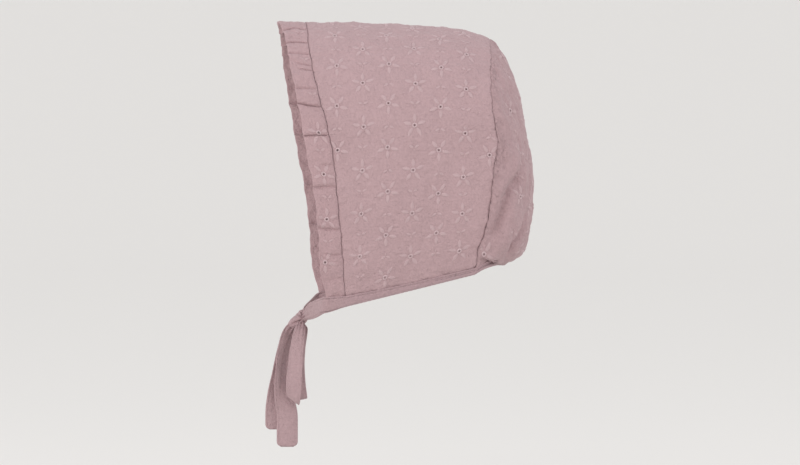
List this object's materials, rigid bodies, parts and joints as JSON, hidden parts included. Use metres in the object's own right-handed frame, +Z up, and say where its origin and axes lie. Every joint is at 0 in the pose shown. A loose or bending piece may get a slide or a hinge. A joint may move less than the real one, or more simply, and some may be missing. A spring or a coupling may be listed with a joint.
{
  "type": "baby bonnet",
  "caption": "Cotton baby bonnet with a crown panel over the head, a gathered back, a tucked face ruffle, a neck binding and chin ties in a bow.",
  "frame": {"origin": "where the head bears: the mid-plane point on the inside of the crown's top", "axes": "+X to the wearer's left, +Y to the back of the head, +Z up; the face opening looks along -Y"},
  "size_m": [0.1304, 0.1664, 0.2631],
  "materials": {
    "crown_cotton": "matt crinkled cotton",
    "back_cotton": "matt crinkled cotton",
    "ruffle_cotton": "matt crinkled cotton",
    "binding_cotton": "matt crinkled cotton",
    "tie_cotton": "matt crinkled cotton"
  },
  "bodies": {
    "root": {"crown_panel": "crown_cotton", "back_panel": "back_cotton", "face_ruffle": "ruffle_cotton", "neck_binding": "binding_cotton", "left_chin_strap": "tie_cotton", "right_chin_strap": "tie_cotton", "bow_knot": "tie_cotton", "left_bow_loop": "tie_cotton", "right_bow_loop": "tie_cotton", "left_tail": "tie_cotton", "right_tail": "tie_cotton"}
  },
  "joints": []
}
